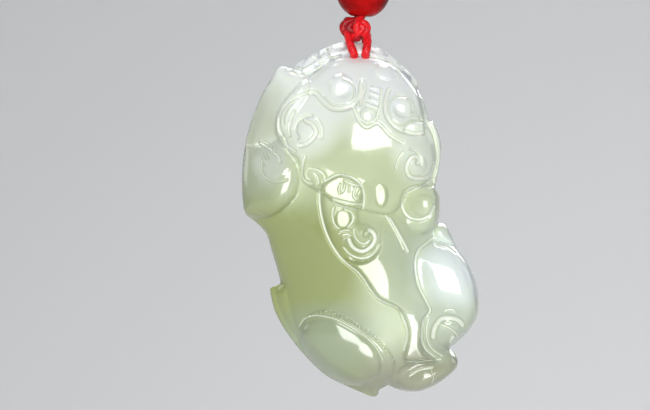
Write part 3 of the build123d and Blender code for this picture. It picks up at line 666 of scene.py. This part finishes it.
# name: rise (less than 0 is cut in), half width, route
jade["slopes"] = {
    "ear": (-14, 9, [(7, 92), (3.5, 85), (1, 79.5), (-0.5, 75)]),
    "crown": (-8, 4.7, [(19, 92.8), (25, 95.2), (32, 97.8), (38, 99.6), (43, 100.4), (49, 100.2), (55, 99.4),
        (60.5, 97.6), (66, 94.6), (71, 91.4), (75, 87.4)]),
    "flange": (-16, 7.6, [(11.6, 31.4), (11.4, 29.5), (13.4, 24), (18.4, 17.8), (26, 11), (34.8, 5.6),
        (44, 2.2), (51, 0.2)]),
}
jade["strokes"] = {
    "eyeSocket": (-5, 1.4, [(29, 85.5), (30.3, 85.4), (31.5, 85.1), (32.8, 84.1), (34.5, 82.8), (36.6, 81.5),
        (38.7, 80.8), (41.2, 80.7), (43.8, 81), (45.9, 81.5), (48, 82.7), (49.2, 83.9), (49.9, 85.5),
        (50.1, 86.9), (50.5, 88.3)]),
    "eyeSocketInner": (-1.6, 0.6, [(34.9, 84.1), (36.2, 83), (38.3, 82.1), (41.2, 81.7), (44.2, 82.1),
        (46.3, 83.2), (47.3, 84.9), (47.3, 86.6), (46.5, 87.7), (45, 88.6), (42.5, 89.2)]),
    "brow": (-4.6, 0.85, [(29, 85.5), (26.5, 85.1), (23.9, 84.5), (21, 83.4), (18.4, 81.8), (16.5, 79.9),
        (15.9, 77.6), (16.1, 75.4), (17.2, 73.4), (18.4, 72.3)]),
    "browInner": (-1.4, 0.6, [(24.3, 83.5), (21.8, 82.5), (19.7, 81), (18.2, 79), (17.8, 76.8)]),
    "cheekOuter": (-5, 0.85, [(22, 80.1), (21, 78.7), (20.3, 77.3), (19.9, 75.6), (20, 74.2), (20.3, 73.4)]),
    "cheekInner": (-5, 1, [(29.4, 79), (27.3, 78.9), (25.6, 78.5), (24.3, 77.7), (23.3, 76.8), (22.7, 75.6),
        (22.7, 74.5), (23.1, 73.7), (23.8, 72.8)]),
    "cheekRing": (-5, 1.25, [(26.9, 77.6), (27.7, 77.2), (29.4, 76.6), (30.7, 75.6), (31.3, 74.5),
        (30.9, 73.4), (29.8, 72.4), (28.4, 71.5), (26.5, 70.8), (24.8, 70.6)]),
    "cheekRight": (-5, 0.85, [(32.2, 77.6), (33.2, 76.5), (33.8, 75.1), (33.9, 73.9), (33.6, 72.8)]),
    "maneUpper": (-4, 0.8, [(18.4, 72.3), (18.9, 71.1), (19.7, 70.3), (21, 69.7), (22.7, 69)]),
    "maneLower": (-4, 0.8, [(18.9, 69.7), (20.1, 68.3), (21.4, 67.2), (22.4, 65.9)]),
    "scrollTop": (-2.4, 0.5, [(9, 71.8), (10.8, 71.3), (12.7, 70.2)]),
    "scrollBar": (6.1, 0.8, [(8.1, 71.4), (10.4, 70.4), (12.4, 69.5)]),
    "scrollHatchA": (-1.2, 0.5, [(9.4, 68.4), (10.4, 66.8)]),
    "scrollHatchB": (-1.2, 0.5, [(10.6, 68.6), (11.6, 67)]),
    "scrollHatchC": (-1.2, 0.5, [(8.9, 66.8), (9.6, 65)]),
    "scrollRing": (-1.8, 0.7, [(8.7, 66.6), (8.5, 64.6), (9.2, 62.7), (10.8, 61.4), (13.4, 60.6),
        (16.3, 60.4), (19.3, 61)]),
    "scrollEye": (-4, 0.95, [(13.8, 68.4), (15.1, 67.9), (15.9, 67), (16.1, 66.1)]),
    "scrollFoot": (-1.2, 0.6, [(4.2, 53.6), (7.6, 52), (11.8, 50.4)]),
    "noseBridgeLeft": (-3.3, 0.75, [(52, 88), (51.8, 86.3), (51.1, 84.9), (50.5, 83.5), (49.9, 82)]),
    "noseRungA": (4.1, 0.6, [(54.7, 86.9), (56.2, 86.6), (57.7, 86.5)]),
    "noseRungB": (4.1, 0.6, [(54.3, 85.5), (56, 84.9), (57.7, 84.5)]),
    "noseRungC": (4.1, 0.6, [(53.9, 83.7), (55.6, 83.1), (57.5, 82.8)]),
    "noseRungD": (4.1, 0.6, [(52.4, 82.3), (54.7, 81.5), (57.3, 81.1)]),
    "noseRungE": (4.1, 0.55, [(52.2, 81), (54.1, 80.4), (56.4, 80.1)]),
    "noseBridgeRight": (-3.3, 0.75, [(58.7, 86.3), (58.5, 84.6), (58.3, 82.7), (57.7, 80.7), (56.8, 79)]),
    "nostrils": (-5.3, 0.9, [(47.1, 81), (47.8, 79.6), (48.6, 78.2), (50.1, 76.6), (52.2, 75.6), (54.3, 76.1),
        (56.4, 76.8), (57.7, 76.6), (59.4, 75.4), (61.5, 73.8), (64, 72.5), (67, 71.4)]),
    "nostrilsInner": (-3.3, 0.65, [(49.1, 80.1), (49.5, 78.7), (50.7, 77.5), (52.6, 76.9), (54.7, 77.2),
        (56.6, 78.2)]),
    "eyeSocketRight": (-5, 1.2, [(61.7, 86.1), (60.6, 84.1), (60.1, 82.4), (60.1, 80.7), (60.6, 79),
        (61.7, 77.6), (63.4, 76.2), (65.3, 75.2), (67.4, 74.6), (69.9, 74.1), (72.9, 73.9), (75.8, 74.1)]),
    "eyeSocketRightInner": (-1.8, 0.6, [(62.3, 83.2), (61.7, 81.5), (61.9, 79.9), (62.7, 78.5), (64.4, 77),
        (66.5, 76.2), (68.6, 76.5), (70.3, 77.4), (72.4, 77.7), (75, 77.3)]),
    "eyeRingRight": (-2.4, 0.6, [(62.7, 83.5), (64.9, 84.4), (67.4, 84.3), (69.7, 83.4), (71.2, 81.8),
        (71.4, 80.1)]),
    "headEdge": (-5.3, 0.78, [(74.6, 78.6), (77.2, 77.3), (79.3, 75.4), (80.7, 73.1), (81.8, 70.3),
        (82, 67.2), (81.4, 64.4), (79.7, 61.8), (77.2, 59.9), (73, 58.5), (70, 57.6), (67.9, 56.3)]),
    "cheekRightSpiral": (-5, 1.25, [(73.7, 65.8), (74.1, 66.5), (73.5, 67.3), (72.2, 67.5), (71, 67.2),
        (69.9, 66.3), (69.2, 65.2), (69, 64.1), (69.4, 63), (70.3, 62), (72, 61.5), (74.1, 61.4),
        (77.1, 61.5), (79.6, 62.7), (80.9, 64.9)]),
    "cheekRightOuter": (-4, 0.7, [(70.8, 69.6), (72.4, 69.3), (73.7, 68.5), (74.8, 67.5), (75.2, 66.3),
        (75.1, 65.2)]),
    "cheekRightStroke": (-3.3, 0.6, [(67.4, 68.6), (65.9, 67.2), (64.9, 65.5), (64.4, 64.4)]),
    "mouthLeftCurl": (-4.6, 0.85, [(26.7, 67.5), (26, 66.1), (25.6, 64.4), (25.4, 62.7), (26, 61.3),
        (27.7, 60.3), (29.4, 60)]),
    "mouthLeftInner": (-3.3, 0.65, [(28.4, 64.4), (27.3, 63), (27.6, 61.7), (29, 61.1)]),
    "mouthLeftBrow": (-4, 0.85, [(29.2, 64.2), (32.1, 63.7), (34.6, 62.4), (34.8, 60.8)]),
    "mouthLeftTick": (-3.3, 0.65, [(30.4, 63), (31.9, 61.8), (32.3, 60.2)]),
    "upperLip": (-5.3, 0.95, [(35.3, 60.7), (38.3, 61.8), (40.8, 62.3), (43.8, 62), (45.9, 61.5), (48, 60.7),
        (49.9, 59.4), (51.1, 57.6), (51.4, 55.4), (50.9, 53.1)]),
    "lipDouble": (-4, 0.7, [(43.3, 60.7), (45.4, 60), (48, 59.4), (49.7, 59.3)]),
    "toothA": (-3.3, 0.55, [(41.4, 59.7), (40.8, 58.5), (41, 57.3)]),
    "toothB": (-3.3, 0.55, [(43.2, 59.6), (42.9, 58.2), (42.1, 57.5)]),
    "toothC": (-3.3, 0.45, [(45.1, 59.2), (45, 57.7)]),
    "toothD": (-3.3, 0.55, [(47.6, 58.6), (46.9, 57.3), (47.1, 56.2), (48.2, 55.5)]),
    "toothE": (-3.3, 0.5, [(49.5, 57.9), (48.6, 56.8)]),
    "teethFoot": (-4.6, 0.78, [(38.6, 55.6), (42.6, 54.9), (46.6, 54.3), (50.2, 54.2)]),
    "gum": (-3.3, 0.7, [(38.7, 54.8), (40, 54.2), (42.1, 53.7), (44.2, 53.4), (46.3, 53), (48, 52.7)]),
    "tongueLeft": (-4, 0.75, [(38.7, 53.4), (38.1, 52), (38.3, 50), (39.3, 48.3), (40.8, 47.5)]),
    "tongueRight": (-4, 0.75, [(43.3, 52.8), (45.9, 52), (46.7, 50.6), (46.3, 49.2), (44.6, 47.9)]),
    "beardRungA": (-3.3, 0.55, [(41.2, 46.6), (43.3, 47), (45.4, 46.9)]),
    "beardRungB": (-3.3, 0.55, [(42.5, 45.7), (43.8, 45.9), (45, 45.9)]),
    "beardRungC": (-3.3, 0.55, [(42.9, 44.5), (44.2, 44.9), (45.4, 45.4)]),
    "beardHookInner": (-3.3, 0.7, [(47.1, 47.5), (47.3, 45.5), (48.2, 44.4), (49.7, 43.4), (51.8, 43.2),
        (53.5, 44.1)]),
    "beardRim": (-4, 0.8, [(42.9, 42.1), (45.4, 40.3), (49.2, 39.2), (53, 39.4), (56, 41), (58.1, 43.2)]),
    "beardHookOuter": (6, 1.5, [(45, 44.4), (45.9, 43), (47.1, 42), (48.8, 41.3), (50.9, 41.1), (53, 41.7),
        (54.7, 42.7), (55.8, 44.1), (55.8, 45.4), (54.9, 46.5), (53.5, 47)]),
    "chest": (-5, 0.85, [(32.7, 58), (32.9, 53.9), (34, 49.7), (36, 45.5), (38.6, 42.1), (41.6, 39.3),
        (45.4, 37.1), (48.7, 35.3), (51.7, 32.8), (54.7, 29.8), (58, 27.5), (63.1, 26), (65.7, 24.9),
        (67.4, 22.4), (69.2, 19.6), (69.2, 16.5), (68, 13.4)]),
    "shoulderFold": (-3.3, 0.7, [(60.4, 51), (62.4, 48.8), (65.2, 45.4), (67.8, 41.6)]),
    "shoulderRoll": (4.1, 0.91, [(62, 50.4), (64.2, 48), (67.4, 44.2), (69.8, 41)]),
    "pawRing": (-3.9, 1, [(73.4, 59.2), (70.2, 58.5), (67.9, 56.9), (67.1, 54.6), (68.2, 52), (71.2, 50.3),
        (75.2, 50), (78.9, 51.4), (80.6, 53.6)]),
    "haunchGroove": (-5.3, 0.91, [(80, 44.6), (76.8, 43), (74.4, 41.6), (72.9, 39), (72.9, 35.1),
        (74.6, 30.6), (77.6, 26.6), (78.9, 24.4), (76.6, 22.2), (75.6, 19.3), (75.7, 15.9), (77.8, 13.1),
        (81.6, 11)]),
    "haunchBand": (-3, 0.6, [(78.4, 22.6), (77.5, 19.6), (77.8, 16.4), (79.9, 13.6), (84, 11.6)]),
    "haunchBrow": (-2.7, 0.72, [(82.3, 42.6), (86, 42.2), (89.8, 40.4)]),
    "curlOuter": (-5.3, 1.6, [(80.3, 17), (80.5, 18.5), (81.1, 19.9), (82.2, 21.1), (83.4, 22), (85.5, 22.5),
        (87.6, 22.4), (89.7, 22.1), (91.4, 21.4), (92.5, 20.4)]),
    "curlInner": (-3.3, 0.7, [(83.8, 20.4), (85.9, 20), (87.6, 19.3), (89.7, 18.2), (90.8, 16.8)]),
    "curlEye": (4, 1.1, [(88.9, 17), (88.1, 16.5), (87.6, 15.6)]),
    "curlTick": (-2.7, 0.6, [(85.5, 24.8), (87.2, 24.9), (88.9, 24.6)]),
    "footToeA": (-3.3, 0.78, [(71.3, 6.4), (73.8, 7.5), (76.4, 8), (79.8, 8.3)]),
    "footToeB": (-2, 0.5, [(79.4, 7.6), (80.4, 5.6), (79.8, 4)]),
    "footTop": (-3, 0.6, [(69.4, 10.2), (74, 10), (78.6, 10.4), (83.4, 10.6)]),
    "leftHaunchGroove": (-2.2, 0.6, [(24.4, 20), (26.4, 22), (30, 23), (34, 22.9), (39.7, 22), (45.6, 20),
        (51.5, 17.4), (56.4, 14.2), (59.2, 10.6)]),
    "crownLedge": (-2.4, 0.6, [(33, 94.2), (38, 95.4), (43, 95.9), (49, 96), (55, 95.7), (61, 94.4),
        (66, 92.3), (70.4, 89.6), (74, 86.2)]),
    "crownCreaseA": (-1.3, 0.39, [(22, 93), (26, 92.6), (31, 94.6), (35, 96.6)]),
    "crownCreaseB": (-2, 0.45, [(30, 96.4), (32.4, 94.4), (33.4, 92.8)]),
    "crownCreaseC": (-2, 0.52, [(35.5, 98), (36.6, 96), (38.6, 95.4)]),
    "crownStep": (-3.3, 0.7, [(21, 91.4), (25, 90.4), (29.6, 91.6), (33, 92.9), (37.6, 95), (41.6, 96)]),
}


def inMetres(places):
    return np.array(places, float) * (jadeWidth / 100, jadeHeight / 100)


def inPercent(length):
    return length * 100 / jadeWidth


# Points in metres along a smooth curve through places in percent
def smoothLine(points, closed=False):
    given = inMetres(points)
    count = len(given)
    line = []
    for i in range(count if closed else count - 1):
        a, b, c, d = given.take(range(i - 1, i + 3), axis=0, mode="wrap" if closed else "clip")
        for t in np.arange(jade["curveSteps"]) / jade["curveSteps"]:
            line.append(b + 0.5 * t * (c - a + t * (2 * a - 5 * b + 4 * c - d + t * (3 * (b - c) + d - a))))
    if not closed:
        line.append(given[-1])
    return np.array(line)


def nearLine(places, line, reach):
    boxed = (places > line.min(axis=0) - reach) & (places < line.max(axis=0) + reach)
    return np.flatnonzero(boxed.all(axis=1))


def lineDistance(places, line):
    nearest = np.full(len(places), np.inf)
    for a, b in zip(line, line[1:]):
        run = b - a
        share = np.clip((places - a) @ run / (run @ run), 0, 1)
        nearest = np.minimum(nearest, np.linalg.norm(places - a - share[:, None] * run, axis=1))
    return nearest


# How deep each place lies inside a closed line: the true distance near it, rounded further in, 0 outside
def softDepth(places, line):
    depth = np.zeros(len(places))
    near = nearLine(places, line, 0)
    x, z = places[near].T
    odd = np.zeros(len(near), bool)
    pull = np.zeros(len(near))
    for (ax, az), (bx, bz) in zip(line, np.roll(line, -1, axis=0)):
        length = math.hypot(bx - ax, bz - az)
        if length == 0:
            continue
        along = ((x - ax) * (bx - ax) + (z - az) * (bz - az)) / length
        rest = length - along
        square = np.maximum((x - ax) ** 2 + (z - az) ** 2 - along**2, 1e-14)
        pull += (rest / np.sqrt(square + rest**2) + along / np.sqrt(square + along**2)) / square
        if az != bz:
            odd ^= ((az > z) != (bz > z)) & (x < (bx - ax) * (z - az) / (bz - az) + ax)
    depth[near] = np.where(odd, np.sqrt(2 / np.maximum(pull, 1e-9)), 0)
    return depth


def shoulder(share):
    return np.sqrt(1 - (1 - np.clip(share, 0, 1)) ** 2)


def softMax(first, second, blend):
    return np.maximum(first, second) + np.maximum(blend - np.abs(first - second), 0) ** 2 / (4 * blend)


# The closed outline: each lobe is smooth and ends where the next one starts
lobes = list(jade["outline"].values())
edgeLine = np.concatenate([smoothLine(lobe + after[:1])[:-1]
                           for lobe, after in zip(lobes, lobes[1:] + lobes[:1])])


# The rounded forms, in percent of the front depth
def formHeight(places):
    edge = inPercent(softDepth(places, edgeLine))
    height = jade["plate"] * shoulder(edge / jade["edgeRound"])
    for foot, gain, bulge, *slant, outline in jade["bases"].values():
        line = smoothLine(outline, closed=True)
        depth = softDepth(places, line)
        offset = inPercent(places - line.mean(axis=0))
        rise = foot + (gain + offset @ slant) * (depth / depth.max()) ** bulge
        height = np.where(depth > 0, softMax(height, rise, jade["crease"]), height)
    for step, width, *slant, outline in jade["layers"].values():
        line = smoothLine(outline, closed=True)
        share = shoulder(inPercent(softDepth(places, line)) / width)
        offset = inPercent(places - line.mean(axis=0))
        height += (step + offset @ slant) * share
    for across, up, halfWidth, halfHeight, rise in jade["swells"].values():
        offset = inPercent(places - inMetres((across, up))) / (halfWidth, halfHeight)
        height += rise * np.clip(1 - (offset**2).sum(axis=1), 0, 1) ** 2
    return np.minimum(height, 100 * shoulder(edge / (jade["edgeDome"] * jade["edgeRound"])))


# Evenly spaced points along a smooth curve
def evenLine(route, step):
    line = smoothLine(route)
    run = runAlong(line)
    return placesAt(np.linspace(0, run[-1], max(int(run[-1] / step), 2)), run, line)


# For each line: its rise, and how near the places lie to it, from 0 at its reach to 1 on it
def lineShares(places, lines):
    for rise, halfWidth, route in lines.values():
        reach = halfWidth * jadeWidth / 100
        line = smoothLine(route)
        near = nearLine(places, line, reach)
        yield rise, near, np.clip(1 - lineDistance(places[near], line) / reach, 0, 1)


# Bosses raised on the forms, slopes, and strokes raised or cut
def carve(places, form):
    height, cut = form.copy(), np.zeros(len(places))
    for across, up, halfWidth, halfHeight, lean, rise, *slant in jade["bosses"].values():
        offset = inPercent(places - inMetres((across, up)))
        turn = math.radians(lean)
        along = offset @ (math.cos(turn), math.sin(turn)) / halfWidth
        over = offset @ (-math.sin(turn), math.cos(turn)) / halfHeight
        dome = np.sqrt(np.clip(1 - along**2 - over**2, 0, 1))
        height += (rise + offset @ slant) * dome
    for rise, radius, pitch, route in jade["beadRows"].values():
        for centre in evenLine(route, pitch * jadeWidth / 100):
            distance = inPercent(np.linalg.norm(places - centre, axis=1)) / radius
            height += rise * np.sqrt(np.clip(1 - distance**2, 0, 1))
    for rise, near, share in lineShares(places, jade["slopes"]):
        height[near] += rise * share**2 * (3 - 2 * share)
    for rise, near, share in lineShares(places, jade["strokes"]):
        height[near] += rise * share * (2 - share)
        # the cut share whitens each stroke with painted highlight and darkens its sides with painted shade
        cut[near] = np.maximum(cut[near], share * min(1, abs(rise) / jade["deepCut"]))
    return np.maximum(height, jade["leastShare"] * form), cut


# Unit steps to the right of a line's own steps
def rightOf(ahead):
    return np.stack([ahead[:, 1], -ahead[:, 0]], axis=1) / np.linalg.norm(ahead, axis=1)[:, None]


# Places along the strokes and beside them, so that the mesh follows each line
def strokePlaces():
    places = []
    for _, halfWidth, route in jade["strokes"].values():
        line = evenLine(route, jade["strokeStep"])
        aside = rightOf(np.gradient(line, axis=0))
        places += [line + aside * share * halfWidth * jadeWidth / 100 for share in (0, 0.5, -0.5, 1, -1)]
    turns = np.arange(8) * math.pi / 4
    around = np.stack([np.cos(turns), np.sin(turns)], axis=1)
    for _, radius, pitch, route in jade["beadRows"].values():
        for centre in evenLine(route, pitch * jadeWidth / 100):
            places.append(centre[None])
            places += [centre + share * radius * jadeWidth / 100 * around for share in (0.6, 1)]
    places = np.concatenate(places)
    _, first = np.unique(np.round(places / jade["strokeGap"]), axis=0, return_index=True)
    return places[first]


# Places that fill the outline: its own points first, then rings close inside it, the strokes and a grid
def fillOutline(spacing, strokes):
    inward = rightOf(np.roll(edgeLine, -1, axis=0) - np.roll(edgeLine, 1, axis=0))
    rings = []
    for offset in jade["edgeRings"]:
        ring = edgeLine + inward * offset
        rings.append(ring[softDepth(ring, edgeLine) > jade["ringClear"] * offset])
    low, high = edgeLine.min(axis=0), edgeLine.max(axis=0)
    rows = np.arange(low[1], high[1], spacing * math.sqrt(0.75))
    columns = np.arange(low[0], high[0], spacing)
    grid = np.stack(np.meshgrid(columns, rows), axis=2)
    grid[1::2, :, 0] += spacing / 2
    grid = grid.reshape(-1, 2)
    if len(strokes):
        free = np.ones(len(grid), bool)
        for _, near, share in lineShares(grid, jade["strokes"]):
            free[near[share > 0]] = False
        grid = grid[free]
    inner = np.concatenate([grid, strokes])
    inner = inner[softDepth(inner, edgeLine) > jade["edgeRings"][-1] + jade["innerClear"] * spacing]
    places = np.concatenate([edgeLine, *rings, inner])
    count = len(edgeLine)
    edges = [(i, (i + 1) % count) for i in range(count)]
    flat = [Vector(place * perMetre) for place in places]
    points, _, faces, origins, *_ = delaunay_2d_cdt(flat, edges, [], 1, 1e-6)
    return np.array([point[:] for point in points]) / perMetre, [tuple(face) for face in faces], origins


def addJade(material):
    sides = []
    for facing, strokes in (("front", strokePlaces()), ("back", np.empty((0, 2)))):
        places, faces, origins = fillOutline(jade[facing + "Spacing"], strokes)
        height, cut = formHeight(places), np.zeros(len(places))
        if facing == "front":
            height, cut = carve(places, height)
        else:
            height *= -jade["backShare"]
        onEdge = np.array([any(origin < len(edgeLine) for origin in group) for group in origins])
        sides.append((places, faces, np.where(onEdge, 0, height), cut, onEdge))
    unit = (middlePlane - jadeLow.y) / sides[0][2].max()  # metres for one percent of the front depth
    points, allFaces, edgeIndex, heights, cuts = [], [], {}, [], []
    for order, (places, faces, *values) in zip((1, -1), sides):  # the back's faces look the other way
        index = []
        for (x, z), depth, carved, edge in zip(places.tolist(), *(column.tolist() for column in values)):
            key = (round(x, 7), round(z, 7))
            index.append(edgeIndex.setdefault(key, len(points)) if edge else len(points))
            if index[-1] < len(points):
                continue
            points.append((jadeLow.x + x, middlePlane - depth * unit, jadeLow.z + z))
            heights.append(depth / 100)
            cuts.append(carved)
        allFaces += [tuple(index[k] for k in face[::order]) for face in faces]
    piece = addPiece("jadeBody", points, allFaces, material)
    addValues(piece, "height", heights)
    addValues(piece, "cut", cuts)
    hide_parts("jade_pixiu")


# 1 at a place of the jade, 0 beyond the reaches round it
def patch(across, up, atAcross, atUp, reachAcross, reachUp):
    aside = (across - atAcross) * (1 / reachAcross)
    above = (up - atUp) * (1 / reachUp)
    return 1 - (aside * aside + above * above).step(0, 1)


def jadeMaterial():
    material, tree = newMaterial("polishedNephrite")
    place = addNode(tree, "ShaderNodeTexCoord", output=3)
    x, z = (addNode(tree, "ShaderNodeSeparateXYZ", inputs=(place,), output=axis) for axis in (0, 2))
    cloud = noise(tree, place, 110, 3)
    fine = noise(tree, place, 900)
    grain = noise(tree, place, 700, 4)
    across = (x - jadeLow.x) / jadeWidth + 0.14 * (cloud - 0.5)
    up = (z - jadeLow.z) / jadeHeight + 0.1 * (cloud - 0.5)
    height = attribute(tree, "height")
    cut = attribute(tree, "cut")
    raw = (1 - height.step(0.2, 0.28)) * up.step(0.84, 0.9)  # the unpolished skin along the crown's rim
    colour = jade["pale"]
    # tones laid by place, partly the jade's colour and partly painted light and shade
    for *spot, share, tint in jade["tints"].values():
        colour = mixColour(tree, (share * patch(across, up, *spot)).clamped(), colour, (*tint, 1))
    # painted shade: a dark band along each side of a stroke
    beside = cut.step(0, 0.2) * (1 - cut.step(0.3, 0.5))
    colour = mixColour(tree, jade["paintedSideShadeShare"] * beside, colour, jade["paintedSideShadeColour"])
    # the strokes whitened: partly the paler carved line, partly painted highlight
    colour = mixColour(tree, jade["cutPaleAndHighlightShare"] * cut.step(0.35, 0.65), colour, jade["cutPaleAndHighlightColour"])
    colour = mixColour(tree, raw * grain.step(0.42, 0.66), colour, jade["rawColour"])
    return finishMaterial(material, {
        "Base Color": colour,
        "Roughness": 0.1 + 0.05 * fine + 0.3 * raw,
        "Subsurface Weight": 0.6,
        "Subsurface Radius": (1.0, 1.0, 0.7),
        "Subsurface Scale": 0.0006,
        "IOR": 1.62,
        "Coat Weight": 0.35,
        "Coat Roughness": 0.03,
        "Normal": bump(tree, 0.06 * cloud + 0.012 * fine + 0.5 * raw * grain, 1.0, 0.0006),
    })


addJade(jadeMaterial())
print("jade carved")

# Floor and a backdrop that is low enough to look over from behind
stage = {
    "halfWidth": 4,
    "front": 3,
    "back": 0.9,
    "high": 0.28,
    "bend": 0.25,
    "bendSteps": 12,
    "floor": 0.07,  # below the jade's foot
    "colour": (0.68, 0.685, 0.69, 1),
    "roughness": 0.75,
}


def addStage():
    material, _ = newMaterial("paleFloor")
    finishMaterial(material, {"Base Color": stage["colour"], "Roughness": stage["roughness"]})
    floor = jadeLow.z - stage["floor"]
    back, bend = middlePlane + stage["back"], stage["bend"]
    profile = [(middlePlane - stage["front"], floor)]
    for step in range(stage["bendSteps"] + 1):
        turn = math.pi / 2 * step / stage["bendSteps"]
        profile.append((back - bend * (1 - math.sin(turn)), floor + bend * (1 - math.cos(turn))))
    profile.append((back, floor + stage["high"]))
    points = [(side * stage["halfWidth"], y, z) for y, z in profile for side in (-1, 1)]
    faces = [(2 * i, 2 * i + 1, 2 * i + 3, 2 * i + 2) for i in range(len(profile) - 1)]
    addMesh("floor", points, faces, material)


addStage()
print("floor laid")

# Soft studio lights: place from the jade's middle, size, watts
lights = {
    "key": ((-0.03, -0.95, 0.14), (0.5, 0.66), 8.6),
    "leftSide": ((-0.6, 0.35, 0.32), (0.3, 0.5), 0.6),
    "rightSide": ((0.6, 0.35, 0.32), (0.3, 0.5), 0.5),
    "overhead": ((0, 0.38, 0.66), (0.6, 0.4), 3.6),
    "behind": ((0.25, 0.8, 0.45), (0.5, 0.4), 2),
}
room = {"Color": (0.9, 0.95, 1.0, 1), "Strength": 0.12}


def addLights():
    aim = Vector(((jadeLow.x + jadeHigh.x) / 2, middlePlane, (jadeLow.z + jadeHigh.z) / 2))
    for name, (offset, size, watts) in lights.items():
        light = bpy.data.lights.new(name, "AREA")
        light.shape = "RECTANGLE"
        light.size, light.size_y = size
        light.energy = watts
        lamp = addObject(name, light)
        lamp.location = aim + Vector(offset)
        lamp.rotation_euler = (-Vector(offset)).to_track_quat("-Z", "Y").to_euler()
    world = bpy.data.worlds.new("softRoom")
    world.use_nodes = True
    for name, value in room.items():
        world.node_tree.nodes["Background"].inputs[name].default_value = value
    bpy.context.scene.world = world
    bpy.context.scene.view_settings.view_transform = "Standard"


addLights()
print("lights set")
